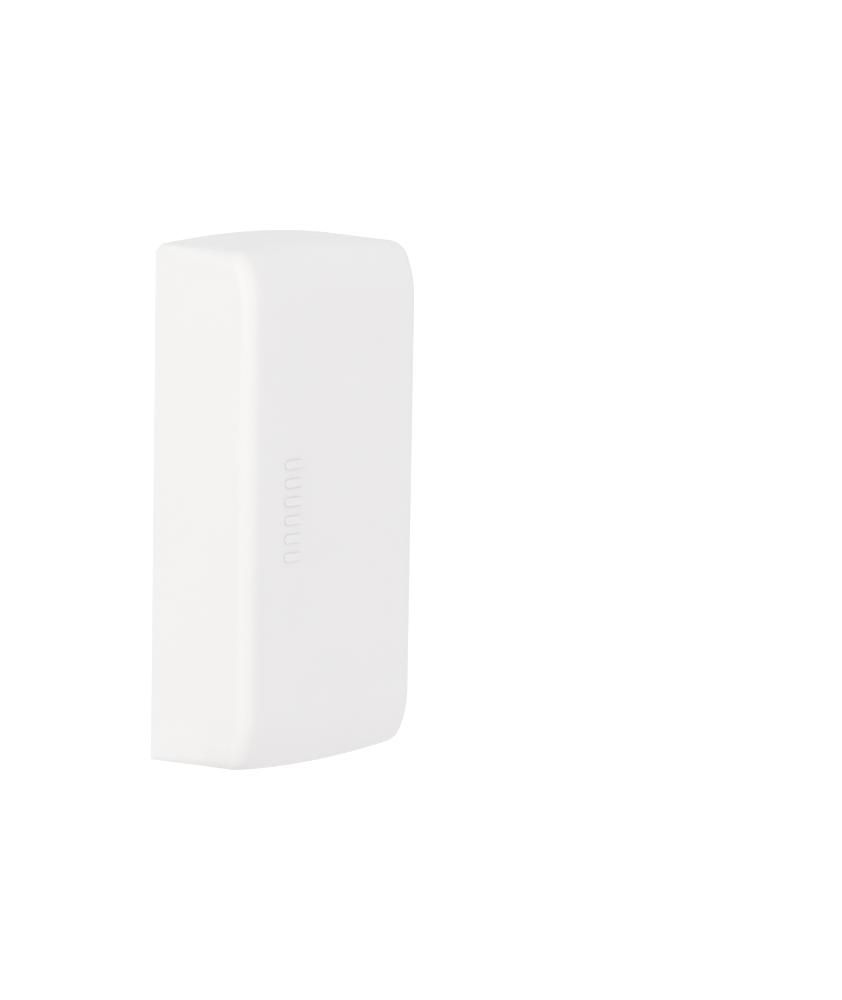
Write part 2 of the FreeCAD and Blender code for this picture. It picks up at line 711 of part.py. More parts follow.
def battery_holder():
    body = body_named("battery_holder")
    middle = (bay_bottom + bay_top) / 2
    outer_width = s.bay_pitch + bay_radius * 2 + s.holder_side * 2
    outer = add_polygon(sketch(body, "XZ_Plane", "holder_outline", board_front), rectangle(
        s.holder_centre, middle, outer_width, s.bay_length + s.holder_wall * 2))
    pad(body, outer, s.holder_height)
    corner_radius = 0.8
    soften(body, "holder_corners", corner_radius, runs_along_y)

    bays = add_circles(sketch(body, "XY_Plane", "round_bays", bay_bottom), [
        (left_bay, -cell_depth, bay_radius), (right_bay, -cell_depth, bay_radius)])
    pocket(body, bays, s.bay_length, backwards=True)
    mouths = sketch(body, "XZ_Plane", "bay_mouths", board_front + s.holder_height)
    for across in (left_bay, right_bay):
        add_polygon(mouths, rectangle(across, middle, bay_radius * 2, s.bay_length))
    pocket(body, mouths, board_front + s.holder_height - cell_depth)

    contact_slots = sketch(body, "XZ_Plane", "contact_slots", board_front + s.holder_height)
    plate_play, side_play = 0.1, 0.3
    slot_depth = s.contact_thickness + plate_play
    slot_width = s.bay_pitch + s.contact_width + side_play * 2
    for level in (bay_bottom + slot_depth / 2, bay_top - slot_depth / 2):
        add_polygon(contact_slots, rectangle(s.holder_centre, level, slot_width, slot_depth))
    pocket(body, contact_slots, s.contact_height)

    grips = sketch(body, "XZ_Plane", "finger_gaps", board_front + s.holder_height)
    finger_share = 0.3
    add_polygon(grips, rectangle(
        s.holder_centre, middle, outer_width + CLEAR * 2, s.bay_length * finger_share))
    pocket(body, grips, s.holder_height * finger_share)
    return body


def battery_cell(side, across, low_end, stud_up):
    """A steel can with its positive stud, and the sleeve round it."""
    can_radius = s.cell_radius - s.sleeve_thickness
    can_length = s.cell_length - s.stud_height
    can_start = low_end if stud_up else low_end + s.stud_height
    can = cylinder(f"can_{side}", can_radius, can_length, across, -cell_depth, can_start, ALONG_Z)
    stud_start = low_end + can_length if stud_up else low_end
    stud = cylinder(f"stud_{side}", s.stud_radius, s.stud_height, across, -cell_depth, stud_start, ALONG_Z)
    cell = fuse(f"battery_cell_{side}", can, stud)

    outside = cylinder(f"wrap_{side}", s.cell_radius, can_length, across, -cell_depth, can_start, ALONG_Z)
    inside = cylinder(f"wrap_bore_{side}", can_radius, can_length, across, -cell_depth, can_start, ALONG_Z)
    sleeve = cut(f"cell_sleeve_{side}", outside, inside)
    return [cell, sleeve]


def contact_plate(name, across, level, width, bump_at=None, bump_up=True):
    """A plate across the end of a bay, with a raised bump where a stud presses on it."""
    depth_start = board_front + s.holder_height - s.contact_height
    plate = block(f"{name}_plate", across, level, depth_start, width, s.contact_thickness, s.contact_height)
    if bump_at is None:
        return plate
    foot_radius, top_radius, bump_height = 1.5, 0.9, 0.25
    bump = doc.addObject("Part::Cone", f"{name}_bump")
    bump.Radius1 = foot_radius
    bump.Radius2 = top_radius
    bump.Height = bump_height
    half = s.contact_thickness / 2
    start = level + half if bump_up else level - half
    place(bump, bump_at, -cell_depth, start, ALONG_Z if bump_up else UPSIDE_DOWN)
    return fuse(name, plate, bump)


def battery_contacts():
    """The link at the bottom joins the cells; two separate contacts lie at the top."""
    half = s.contact_thickness / 2
    low = bay_bottom + half
    high = bay_top - half
    link_width = s.bay_pitch + s.contact_width
    link = contact_plate("link_contact", s.holder_centre, low, link_width, right_bay, True)
    positive = contact_plate("positive_contact", left_bay, high, s.contact_width, left_bay, False)
    negative = contact_plate("negative_contact", right_bay, high, s.contact_width)
    negative.Label = "negative_contact"
    turns, taper, end_gap = 3, -15, 0.02
    climb = s.spring_space - (s.spring_wire + end_gap) * 2
    link_spring = coil(
        "link_spring", s.spring_radius, s.spring_wire, climb / turns, climb,
        left_bay, -cell_depth, low + half + s.spring_wire + end_gap, ALONG_Z, taper)
    negative_spring = coil(
        "negative_spring", s.spring_radius, s.spring_wire, climb / turns, climb,
        right_bay, -cell_depth, high - half - s.spring_wire - end_gap, UPSIDE_DOWN, taper)
    return [link, positive, negative, link_spring, negative_spring]


def battery_pack():
    left_low = bay_bottom + s.contact_thickness + s.spring_space
    right_low = bay_top - s.contact_thickness - s.spring_space - s.cell_length
    return (battery_cell("left", left_bay, left_low, True)
            + battery_cell("right", right_bay, right_low, False)
            + battery_contacts())


# ---------------------------------------------------------------- radio and small parts

SHIELD_AT = (0.6, 22.6)
SHIELD_SIZE = (10.0, 9.0, 2.4)


def radio_shield():
    """A drawn tin can, open towards the board, with a row of vent holes repeated up it."""
    body = body_named("radio_shield")
    x, z = SHIELD_AT
    width, height, depth = SHIELD_SIZE
    sheet_thickness, corner_radius, edge_radius = 0.2, 0.6, 0.4
    vent_radius, vent_pitch, vents_across, vents_up = 0.35, 1.6, 5, 4
    outline = add_polygon(sketch(body, "XZ_Plane", "shield_outline", board_front), rectangle(
        x, z, width, height))
    pad(body, outline, depth)
    soften(body, "shield_corners", corner_radius, runs_along_y)
    soften(body, "shield_edges", edge_radius, lambda edge: (
        is_near(edge.BoundBox.YMax, -board_front - depth)))
    inside_width = width - 2 * sheet_thickness
    inside_height = height - 2 * sheet_thickness
    hollow = add_polygon(sketch(body, "XZ_Plane", "shield_hollow", board_front), rectangle(
        x, z, inside_width, inside_height))
    pocket(body, hollow, depth - sheet_thickness, backwards=True)
    lowest_row = z - vent_pitch * (vents_up - 1) / 2
    vent = add_circles(sketch(body, "XZ_Plane", "shield_vent", board_front), [
        (x + vent_pitch * (index - (vents_across - 1) / 2), lowest_row, vent_radius)
        for index in range(vents_across)])
    row = pocket(body, vent, backwards=True)
    up = next(item for item in body.Origin.OriginFeatures if item.Role == "Z_Axis")
    rows = body.newObject("PartDesign::LinearPattern", "vent_rows")
    rows.Originals = [row]
    rows.Direction = (up, [""])
    rows.Length = vent_pitch * (vents_up - 1)
    rows.Occurrences = vents_up
    body.Tip = rows
    doc.recompute()
    return body


def antenna_coil():
    """A wound wire antenna along the top of the board, with a leg at each end."""
    wire, coil_radius, turns = 0.35, 1.8, 9
    start, length, level = -5.0, 13.0, 31.4
    leg_depth = 2.6
    centre_depth = board_front + leg_depth
    windings = coil("antenna_windings", coil_radius, wire, length / turns, length,
                    start, -centre_depth, level, ALONG_X)
    lowest = level - coil_radius
    legs = [cylinder(f"antenna_leg_{index}", wire, leg_depth, x, -board_front, lowest, TO_FRONT)
            for index, x in enumerate((start, start + length))]
    return fuse("antenna_coil", windings, *legs)


def microcontroller():
    """A chip package with a row of legs down each side and a dimple beside its first leg."""
    x, z = -s.left_column, -16.6
    width, height, depth, standoff = 4.4, 6, 1.2, 0.15
    leg_reach, leg_width, leg_thickness, leg_pitch, leg_count = 1.1, 0.4, 0.5, 0.95, 6
    dimple_radius, dimple_depth, dimple_inset = 0.4, 0.1, 0.9
    package = block("chip_package", x, z, board_front + standoff, width, height, depth)
    legs = []
    for side in (-1, 1):
        leg_centre = x + (width + leg_reach - OVERLAP) / 2 * side
        for index in range(leg_count):
            level = z + leg_pitch * (index - (leg_count - 1) / 2)
            legs.append(block(f"chip_leg_{side + 1}_{index}", leg_centre, level, board_front,
                              leg_reach + OVERLAP, leg_width, leg_thickness))
    dimple = disc("chip_dimple", x - width / 2 + dimple_inset, z + height / 2 - dimple_inset,
                  board_front + standoff + depth - dimple_depth, dimple_radius, CLEAR)
    return cut("microcontroller", fuse("chip_blank", package, *legs), dimple)


def crystal():
    """A round-ended tin can lying on the board."""
    x, z, radius, length, end_radius = -6.2, 24.6, 1.4, 5.2, 0.4
    can = cylinder("crystal_can", radius, length, x, -(board_front + radius), z - length / 2, ALONG_Z)
    return round_ends("crystal", can, end_radius)


def chips(name, places, width, height, depth):
    """A group of identical brick-shaped parts with metal caps stepped at their ends."""
    cap_width, step = width * 0.2, 0.05
    bricks = []
    for index, (x, z) in enumerate(places):
        brick = f"{name}_{index}"
        core = block(f"{brick}_core", x, z, board_front + step, width - cap_width * 2, height, depth)
        caps = [block(f"{brick}_cap_{side + 1}", x + side * (width - cap_width) / 2, z, board_front,
                      cap_width, height + step * 2, depth + step * 2) for side in (-1, 1)]
        bricks.append(fuse(brick, core, *caps))
    return group(name, *bricks)


def status_led():
    """A lens on a small rectangular carrier."""
    x, z = -6.2, 19.4
    width, height, depth = 2, 1.25, 0.5
    lens_radius, lens_depth = 0.55, 0.4
    carrier = block("led_carrier", x, z, board_front, width, height, depth)
    lens = disc("led_lens", x, z, board_front + depth, lens_radius, lens_depth)
    return fuse("status_led", carrier, lens)


def small_parts():
    level = 16.2
    capacitor_places = [(-5.4 + 3.0 * index, level) for index in range(4)]
    resistor_places = [(6.6 + 2.4 * index, level) for index in range(4)]
    return [
        chips("capacitors", capacitor_places, 2.0, 1.25, 1.0),
        chips("resistors", resistor_places, 1.6, 0.8, 0.5),
        status_led(),
        crystal(),
        microcontroller(),
        antenna_coil(),
    ]


# ---------------------------------------------------------------- reed switch

reed_depth = board_front + s.reed_above_board


def reed_wire(name, sign):
    """The round lead of one reed: through the glass end, along, and down into the board."""
    seal = s.reed_length / 2 - s.reed_bore
    outer = s.reed_span / 2
    start = FreeCAD.Vector(-number(s.reed_offset), -number(reed_depth), sign * number(seal))
    bend = 0.9
    corner_z = sign * number(outer)
    before = FreeCAD.Vector(start.x, start.y, corner_z - sign * bend)
    after = FreeCAD.Vector(start.x, start.y + bend, corner_z)
    middle = FreeCAD.Vector(
        start.x, start.y + bend * (1 - math.sqrt(0.5)), corner_z - sign * bend * (1 - math.sqrt(0.5)))
    end = FreeCAD.Vector(start.x, -number(board_front), corner_z)
    path = Part.Wire([
        Part.makeLine(start, before),
        Part.Arc(before, middle, after).toShape(),
        Part.makeLine(after, end)])
    circle = Part.makeCircle(number(s.reed_wire), start, FreeCAD.Vector(0, 0, sign))
    lead = doc.addObject("Part::Feature", name)
    lead.Shape = path.makePipeShell([Part.Wire([circle])], True, True)
    return lead


def reed_blade(name, sign, side):
    """A flattened reed from the glass seal to just past the middle, on one side of the gap."""
    seal = s.reed_length / 2 - s.reed_bore
    length = seal + s.blade_overlap / 2
    centre = (seal - s.blade_overlap / 2) / 2 * sign
    back = reed_depth + s.blade_gap / 2 if side > 0 else reed_depth - s.blade_gap / 2 - s.blade_thickness
    return block(name, -s.reed_offset, centre, back, s.blade_width, length, s.blade_thickness)


def reed_switch():
    along = (-s.reed_offset, -reed_depth)
    tube = cylinder("reed_tube", s.reed_radius, s.reed_length, *along, -(s.reed_length / 2), ALONG_Z)
    end_radius = 0.6
    rounded = round_ends("reed_tube_ends", tube, end_radius)
    bore_length = s.reed_length - s.reed_bore * 2
    bore = cylinder("reed_cavity", s.reed_bore, bore_length, *along, -(bore_length / 2), ALONG_Z)
    way_length = s.reed_length + CLEAR * 2
    wire_way = cylinder("reed_wire_way", s.reed_wire, way_length, *along, -(way_length / 2), ALONG_Z)
    glass = cut("reed_glass", rounded, bore, wire_way)
    fixed = fuse("reed_fixed_blade", reed_blade("fixed_reed", -1, -1), reed_wire("fixed_reed_wire", -1))
    moving = reed_blade("reed_moving_blade", 1, 1)
    lead = reed_wire("reed_lead", 1)
    return [glass, fixed, moving, lead]


# ---------------------------------------------------------------- switches

BUTTON_PLAY = 0.15  # round each button in its housing
SPRING_PLAY = 0.05  # at each end of a switch spring


def tamper_switch():
    """The cover's post holds this button in; it follows the cover out when the cover opens."""
    x, z = -s.left_column, s.tamper_level
    flange_back, flange_depth = 2.4, 0.6
    neck_depth = 0.9
    chamber_radius, flange_radius = 2.3, 2.1
    button_radius = 1.5
    case = block("tamper_case", x, z, board_front, s.switch_width, s.switch_width, s.tamper_height)
    chamber = disc("tamper_chamber", x, z, board_front, chamber_radius, s.tamper_height - neck_depth)
    neck = disc("tamper_neck", x, z, board_front, button_radius + BUTTON_PLAY, s.tamper_height)
    housing = cut("tamper_switch_housing", case, chamber, neck)
    flange = disc("tamper_flange", x, z, board_front + flange_back, flange_radius, flange_depth)
    stem = disc("tamper_stem", x, z, board_front + flange_back, button_radius, s.tamper_reach - flange_back)
    button = fuse("tamper_button", flange, stem)
    wire, spring_radius, turns = 0.15, 1.5, 4
    climb = flange_back - (wire + SPRING_PLAY) * 2
    spring = coil("tamper_spring", spring_radius, wire, climb / turns, climb,
                  x, -(board_front + wire + SPRING_PLAY), z, TO_FRONT)
    return [housing, button, spring]


def learn_switch():
    """A tact switch: the button clicks a thin steel dome."""
    x, z = -s.left_column, s.learn_level
    button_radius = 1.7
    sunk = 0.8
    bore_depth = 1.7
    case = block("learn_case", x, z, board_front, s.switch_width, s.switch_width, s.learn_height)
    floor = board_front + s.learn_height - bore_depth
    bore = disc("learn_bore", x, z, floor, button_radius + BUTTON_PLAY, bore_depth)
    housing = cut("learn_switch_housing", case, bore)
    button = disc("learn_button", x, z, board_front + s.learn_height - sunk, button_radius,
                  s.learn_reach - s.learn_height + sunk)
    rise, foot, sheet_thickness = 0.45, 1.5, 0.12
    sphere_radius = (foot ** 2 + rise ** 2) / (2 * rise)
    dome_centre = floor - (sphere_radius - rise)
    shells = []
    for name, radius in (("dome_outside", sphere_radius), ("dome_inside", sphere_radius - sheet_thickness)):
        ball = doc.addObject("Part::Sphere", name)
        ball.Radius = radius
        shells.append(place(ball, x, -dome_centre, z))
    reach = 3 * sphere_radius
    below = block("dome_below", x, z, floor - reach, reach, reach, reach)
    dome = cut("learn_dome", shells[0], shells[1], below)
    return [housing, button, dome]


def wall_tamper_switch():
    """A sprung plunger through the base: the wall holds it flush with the back."""
    x, z = s.plunger_x, s.plunger_z
    side = s.plunger_housing
    roof, flange_step, stop_gap, recess = 1.0, 0.8, 0.05, 0.03
    chamber_depth = s.plunger_housing_height - roof
    flange_back = s.plunger_travel + stop_gap
    flange_depth = 0.6
    flange_radius = s.plunger_radius + flange_step
    chamber_radius = flange_radius + s.guide_gap
    case = block("wall_tamper_case", x, z, board_front, side, side, s.plunger_housing_height)
    chamber = disc("wall_tamper_chamber", x, z, board_front, chamber_radius, chamber_depth)
    housing = cut("wall_tamper_housing", case, chamber)
    stem = disc("plunger_stem", x, z, recess, s.plunger_radius,
                board_front + flange_back + flange_depth - recess)
    flange = disc("plunger_flange", x, z, board_front + flange_back, flange_radius, flange_depth)
    plunger = fuse("wall_tamper_plunger", stem, flange)
    wire, spring_radius, turns = 0.2, 1.9, 3
    spring_start = board_front + flange_back + flange_depth
    climb = chamber_depth - flange_back - flange_depth - (wire + SPRING_PLAY) * 2
    spring = coil("wall_tamper_spring", spring_radius, wire, climb / turns, climb,
                  x, -(spring_start + wire + SPRING_PLAY), z, TO_FRONT)
    return [housing, plunger, spring]


# ---------------------------------------------------------------- build, check and export

def check(parts):
    """Stop if any object failed or any sub-part has no sound shape."""
    for item in doc.Objects:
        if "Invalid" in item.State or "Error" in item.State:
            raise RuntimeError(f"{item.Name} failed: {item.State}")
    for item in parts:
        shape = item.Shape
        if shape.isNull() or not shape.isValid() or not shape.Solids:
            raise RuntimeError(f"{item.Label} has no sound shape")


parts = [front_cover(), base_plate(), circuit_board(), board_screws(), battery_holder()]
parts += battery_pack()
parts += [radio_shield()]
parts += small_parts()
parts += reed_switch()
parts += tamper_switch()
parts += learn_switch()
parts += wall_tamper_switch()
doc.recompute()
check(parts)

os.makedirs("parts", exist_ok=True)
for part in parts:
    part.Shape.exportStep(f"parts/{part.Label}.step")
    print(f"{part.Label}: {len(part.Shape.Solids)} solid(s), {part.Shape.Volume:.1f} mm3")
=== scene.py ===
import json
import math

import bmesh
import bpy
from mathutils import Matrix, Vector


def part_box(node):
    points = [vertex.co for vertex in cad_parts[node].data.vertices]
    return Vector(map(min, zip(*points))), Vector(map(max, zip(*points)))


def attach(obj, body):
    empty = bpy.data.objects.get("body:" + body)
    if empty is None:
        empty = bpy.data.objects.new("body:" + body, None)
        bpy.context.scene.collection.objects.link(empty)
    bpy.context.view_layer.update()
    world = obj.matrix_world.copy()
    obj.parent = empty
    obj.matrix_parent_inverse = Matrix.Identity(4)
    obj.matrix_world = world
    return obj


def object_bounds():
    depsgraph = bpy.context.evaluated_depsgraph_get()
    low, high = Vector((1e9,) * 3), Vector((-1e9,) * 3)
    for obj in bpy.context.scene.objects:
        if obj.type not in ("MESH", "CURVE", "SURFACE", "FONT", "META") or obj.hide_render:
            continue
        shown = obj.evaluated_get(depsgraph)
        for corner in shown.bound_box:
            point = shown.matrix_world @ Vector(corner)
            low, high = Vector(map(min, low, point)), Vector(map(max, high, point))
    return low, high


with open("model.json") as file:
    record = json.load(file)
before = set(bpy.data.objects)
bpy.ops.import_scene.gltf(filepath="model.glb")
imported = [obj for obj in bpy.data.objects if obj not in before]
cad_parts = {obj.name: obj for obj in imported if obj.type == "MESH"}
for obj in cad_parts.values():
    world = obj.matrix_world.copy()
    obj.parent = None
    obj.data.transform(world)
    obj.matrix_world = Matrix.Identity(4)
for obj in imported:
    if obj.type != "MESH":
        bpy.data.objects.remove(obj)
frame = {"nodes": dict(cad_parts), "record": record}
cad_low, cad_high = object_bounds()

# Wireless door contact sensor. Metres, in the CAD frame: the origin is on the wall plane behind the
# middle of the case, +Z is up and the front faces -Y. Outlines and sizes on the circuit board are in
# millimetres, and add_loop turns them into metres.

MM = 0.001
nodes = frame["nodes"]


# ---------------------------------------------------------------- places on the object

BOARD_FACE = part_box("circuit_board")[0].y
BRICKS_IN_A_ROW = 4
BRICK_WIDTHS = {"capacitors": 2.0, "resistors": 1.6}
PUSH_SWITCHES = ("tamper_switch", "learn_switch")


def footprint(node):
    """Centre and size of a node as seen from the front: x, z, width and height in millimetres."""
    low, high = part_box(node)
    centre, size = (low + high) / 2 / MM, (high - low) / MM
    return centre.x, centre.z, size.x, size.z


def brick_centres(node):
    """The x of every brick-shaped part of a row, in millimetres."""
    x, _, row_width, _ = footprint(node)
    first = x - (row_width - BRICK_WIDTHS[node]) / 2
    pitch = (row_width - BRICK_WIDTHS[node]) / (BRICKS_IN_A_ROW - 1)
    return [first + index * pitch for index in range(BRICKS_IN_A_ROW)]


# ---------------------------------------------------------------- building materials

class Look:
    """A procedural material: one shader, fed by texture nodes in the object's own coordinates."""

    def __init__(self, name, roughness, metallic=0.0):
        self.material = bpy.data.materials.new(name)
        self.material.use_nodes = True
        tree = self.material.node_tree
        self.nodes = tree.nodes
        self.links = tree.links
        self.shader = self.nodes["Principled BSDF"]
        self.set("Roughness", roughness)
        self.set("Metallic", metallic)
        self.where = self.nodes.new("ShaderNodeTexCoord").outputs["Object"]
        self.normal = None

    def set(self, name, value):
        """Give one of the shader's sockets a number, a colour or another node's output."""
        self.feed(self.shader.inputs[name], value)

    def feed(self, socket, value):
        """Link another node's output to the socket, or store a plain value in it."""
        if isinstance(value, bpy.types.NodeSocket):
            self.links.new(value, socket)
        else:
            socket.default_value = value

    def node(self, kind, inputs, **settings):
        """Add a node; its inputs are plain values or other nodes' outputs."""
        made = self.nodes.new(kind)
        for name, value in settings.items():
            setattr(made, name, value)
        for name, value in inputs.items():
            self.feed(made.inputs[name], value)
        return made

    def math(self, operation, first, second=0.0):
        """Arithmetic on numbers or other nodes' outputs."""
        return self.node("ShaderNodeMath", {0: first, 1: second}, operation=operation).outputs[0]

    def axis(self, letter):
        """One coordinate of the point, in millimetres."""
        split = self.node("ShaderNodeSeparateXYZ", {0: self.where})
        return self.math("DIVIDE", split.outputs[letter], MM)

    def noise(self, grain, detail=2.0, stretch=(1, 1, 1)):
        """Cloudy noise whose spots are about grain across, in metres."""
        scaled = self.node("ShaderNodeMapping", {"Vector": self.where, "Scale": stretch})
        inputs = {"Vector": scaled.outputs[0], "Scale": 1 / grain, "Detail": detail}
        return self.node("ShaderNodeTexNoise", inputs).outputs["Fac"]

    def stripes(self, letter, pitch):
        """Soft stripes across one axis, about pitch apart, in metres."""
        scale_for_a_metre = 0.3
        inputs = {"Vector": self.where, "Scale": scale_for_a_metre / pitch}
        return self.node("ShaderNodeTexWave", inputs, bands_direction=letter).outputs["Fac"]

    def spread(self, factor, low, high, start=0.3, end=0.7):
        """Turn a factor that runs from start to end into a number from low to high."""
        inputs = {"Value": factor, "From Min": start, "From Max": end, "To Min": low, "To Max": high}
        return self.node("ShaderNodeMapRange", inputs).outputs[0]

    def blend(self, factor, first, second):
        """Mix two colours: a factor of 0 gives the first and 1 the second."""
        inputs = {0: factor, 6: first, 7: second}
        return self.node("ShaderNodeMix", inputs, data_type="RGBA").outputs[2]

    def mottle(self, pattern, first, second):
        """Two colours in the spots of a noise pattern."""
        return self.blend(self.spread(pattern, 0, 1), first, second)

    def rounded_edges(self, radius):
        """Light the hard edges as if they were rounded, and return a mask that is 1 on them."""
        soft = self.node("ShaderNodeBevel", {"Radius": radius}, samples=4).outputs[0]
        flat = self.node("ShaderNodeNewGeometry", {}).outputs["Normal"]
        facing = self.node("ShaderNodeVectorMath", {0: soft, 1: flat}, operation="DOT_PRODUCT")
        self.normal = soft
        return self.spread(facing.outputs["Value"], 1.0, 0.0, start=0.8, end=0.99)

    def bump(self, height, distance):
        """Raise the surface by up to the distance, in metres."""
        inputs = {"Height": height, "Distance": distance, "Strength": 1.0}
        if self.normal is not None:
            inputs["Normal"] = self.normal
        self.normal = self.node("ShaderNodeBump", inputs).outputs[0]

    def done(self):
        """The finished material, with its rounded edges and bumps connected."""
        if self.normal is not None:
            self.set("Normal", self.normal)
        return self.material


def shade(color, amount):
    """The colour made lighter or darker, with full opacity."""
    return (*(min(1.0, part * amount) for part in color), 1.0)


def moulded_plastic(name, color, grain, depth, roughness, edge_highlight=1.15):
    """Injection-moulded plastic: a fine spark texture, faint flow clouds, and a painted highlight that
    lightens the colour on the edges.
    """
    look = Look(name, roughness)
    edges = look.rounded_edges(0.2 * MM)
    clouds = look.noise(9 * MM, detail=3)
    body = look.mottle(clouds, shade(color, 0.985), shade(color, 1.01))
    # painted highlight: on the edges the colour is made lighter by the last factor
    look.set("Base Color", look.blend(edges, body, shade(color, edge_highlight)))
    texture = look.noise(grain, detail=3)
    sheen = look.spread(look.noise(5 * MM), roughness - 0.05, roughness + 0.05)
    look.set("Roughness", look.math("SUBTRACT", sheen, look.math("MULTIPLY", edges, 0.08)))
    look.bump(texture, depth)
    return look.done()


def metal(name, color, roughness, stretch=(1, 1, 1), depth=0.003 * MM, edge=0.08 * MM):
    """Plated or drawn metal: streaks along the grain, cloudy tarnish and a painted highlight that
    lightens the colour on the edges.
    """
    look = Look(name, roughness, metallic=1.0)
    edges = look.rounded_edges(edge)
    tarnish = look.noise(2.2 * MM, detail=4)
    plate = look.mottle(tarnish, shade(color, 0.86), shade(color, 1.04))
    # painted highlight: on the edges the colour is made lighter
    look.set("Base Color", look.blend(edges, plate, shade(color, 1.2)))
    streaks = look.noise(0.25 * MM, detail=3, stretch=stretch)
    look.set("Roughness", look.spread(streaks, roughness - 0.08, roughness + 0.1))
    look.bump(streaks, depth)
    return look.done()


# ---------------------------------------------------------------- the materials

WHITE = (0.700, 0.683, 0.697)
SWITCH_BLACK = (0.035, 0.035, 0.038)
TINNED = (0.80, 0.79, 0.76)
ALONG_X = (0.15, 1, 1)  # a stretch that draws noise out into streaks along X
ALONG_Z = (1, 1, 0.15)


def cover_white():
    """Satin white ABS of the cover."""
    look = Look("satin_white_abs", 0.42)
    clouds = look.noise(12 * MM, detail=3)
    look.set("Base Color", look.mottle(clouds, shade(WHITE, 0.994), shade(WHITE, 1.004)))
    look.set("Roughness", look.spread(look.noise(4 * MM, detail=3), 0.38, 0.46))
    look.set("Specular IOR Level", 0.35)
    look.bump(look.noise(0.16 * MM, detail=2), 0.0012 * MM)
    return look.done()


def board_green():
    """Solder mask over woven glass cloth, glossy, with the weave just showing."""
    look = Look("green_solder_mask", 0.28)
    edges = look.rounded_edges(0.06 * MM)
    weave_pitch = 0.45 * MM
    cloth = look.math("MULTIPLY", look.stripes("X", weave_pitch), look.stripes("Z", weave_pitch))
    mask = look.mottle(cloth, (0.012, 0.105, 0.045, 1), (0.02, 0.15, 0.065, 1))
    copper_haze = look.spread(look.noise(3.5 * MM, detail=3), 0, 0.5, start=0.48, end=0.56)
    mask = look.blend(copper_haze, mask, (0.03, 0.19, 0.085, 1))
    bare_edge = (0.22, 0.26, 0.13, 1)
    look.set("Base Color", look.blend(edges, mask, bare_edge))
    look.set("Roughness", look.spread(look.noise(6 * MM), 0.22, 0.36))
    look.bump(cloth, 0.004 * MM)
    return look.done()


def masked_copper():
    """Copper tracks seen through the solder mask."""
    look = Look("copper_under_mask", 0.3)
    haze = look.noise(1.2 * MM, detail=3)
    look.set("Base Color", look.mottle(haze, (0.035, 0.22, 0.09, 1), (0.06, 0.3, 0.12, 1)))
    look.set("Roughness", look.spread(haze, 0.24, 0.38))
    look.bump(look.noise(0.3 * MM), 0.004 * MM)
    return look.done()


def board_ink():
    """White outlines printed on the board, slightly uneven."""
    look = Look("board_ink", 0.6)
    speckle = look.noise(0.25 * MM, detail=4)
    look.set("Base Color", look.mottle(speckle, (0.62, 0.63, 0.6, 1), (0.82, 0.82, 0.79, 1)))
    look.bump(speckle, 0.004 * MM)
    return look.done()


def shrink_film():
    """The cells' shrink sleeve: a dark body and a bronze band towards the stud, slightly rippled."""
    look = Look("shrink_film", 0.25)
    ripples = look.noise(1.4 * MM, detail=2, stretch=(1, 1, 0.25))
    streaks = look.noise(0.5 * MM, detail=3, stretch=(1, 1, 0.1))
    dark = look.mottle(streaks, (0.02, 0.045, 0.095, 1), (0.026, 0.054, 0.11, 1))
    bronze = look.mottle(streaks, (0.45, 0.265, 0.115, 1), (0.49, 0.29, 0.13, 1))
    left_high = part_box("cell_sleeve_left")[1] / MM
    right_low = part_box("cell_sleeve_right")[0] / MM
    band_height = 11.0
    on_left = look.math("LESS_THAN", look.axis("X"), (left_high.x + right_low.x) / 2)
    near_top = look.math("GREATER_THAN", look.axis("Z"), left_high.z - band_height)
    near_bottom = look.math("LESS_THAN", look.axis("Z"), right_low.z + band_height)
    left_band = look.math("MULTIPLY", on_left, near_top)
    right_band = look.math("MULTIPLY", look.math("SUBTRACT", 1.0, on_left), near_bottom)
    look.set("Base Color", look.blend(look.math("MAXIMUM", left_band, right_band), dark, bronze))
    look.set("Coat Weight", 0.4)
    look.set("Coat Roughness", 0.12)
    look.bump(ripples, 0.02 * MM)
    return look.done()


def tin_ended(name, color, node):
    """A row of brick-shaped parts, each with a plain middle and tinned ends."""
    first, second = brick_centres(node)[:2]
    pitch = second - first
    middle_width = BRICK_WIDTHS[node] * 0.6
    look = Look(name, 0.45)
    along = look.math("SUBTRACT", look.axis("X"), first - pitch / 2)
    in_one_pitch = look.math("FLOORED_MODULO", along, pitch)
    from_centre = look.math("ABSOLUTE", look.math("SUBTRACT", in_one_pitch, pitch / 2))
    ends = look.math("GREATER_THAN", from_centre, middle_width / 2)
    grain = look.noise(0.2 * MM, detail=3)
    body = look.mottle(grain, shade(color, 0.8), shade(color, 1.15))
    tin = look.mottle(grain, shade(TINNED, 0.8), shade(TINNED, 1.05))
    look.set("Base Color", look.blend(ends, body, tin))
    look.set("Metallic", ends)
    look.set("Roughness", look.spread(grain, 0.3, 0.5))
    look.rounded_edges(0.08 * MM)
    look.bump(grain, 0.01 * MM)
    return look.done()


def chip_black():
    """Black moulded resin; what stands out past the package's sides is tinned legs."""
    chip_x, _, _, _ = footprint("microcontroller")
    package_half_width = 2.2
    look = Look("chip_resin", 0.5)
    edges = look.rounded_edges(0.1 * MM)
    from_centre = look.math("ABSOLUTE", look.math("SUBTRACT", look.axis("X"), chip_x))
    legs = look.math("GREATER_THAN", from_centre, package_half_width)
    grain = look.noise(0.12 * MM, detail=3)
    resin = look.mottle(grain, (0.018, 0.018, 0.02, 1), (0.035, 0.035, 0.038, 1))
    # painted highlight: the resin is lighter grey on its edges
    resin = look.blend(edges, resin, (0.07, 0.07, 0.075, 1))
    look.set("Base Color", look.blend(legs, resin, shade(TINNED, 1)))
    look.set("Metallic", legs)
    look.set("Roughness", look.spread(grain, 0.36, 0.56))
    look.bump(grain, 0.006 * MM)
    return look.done()


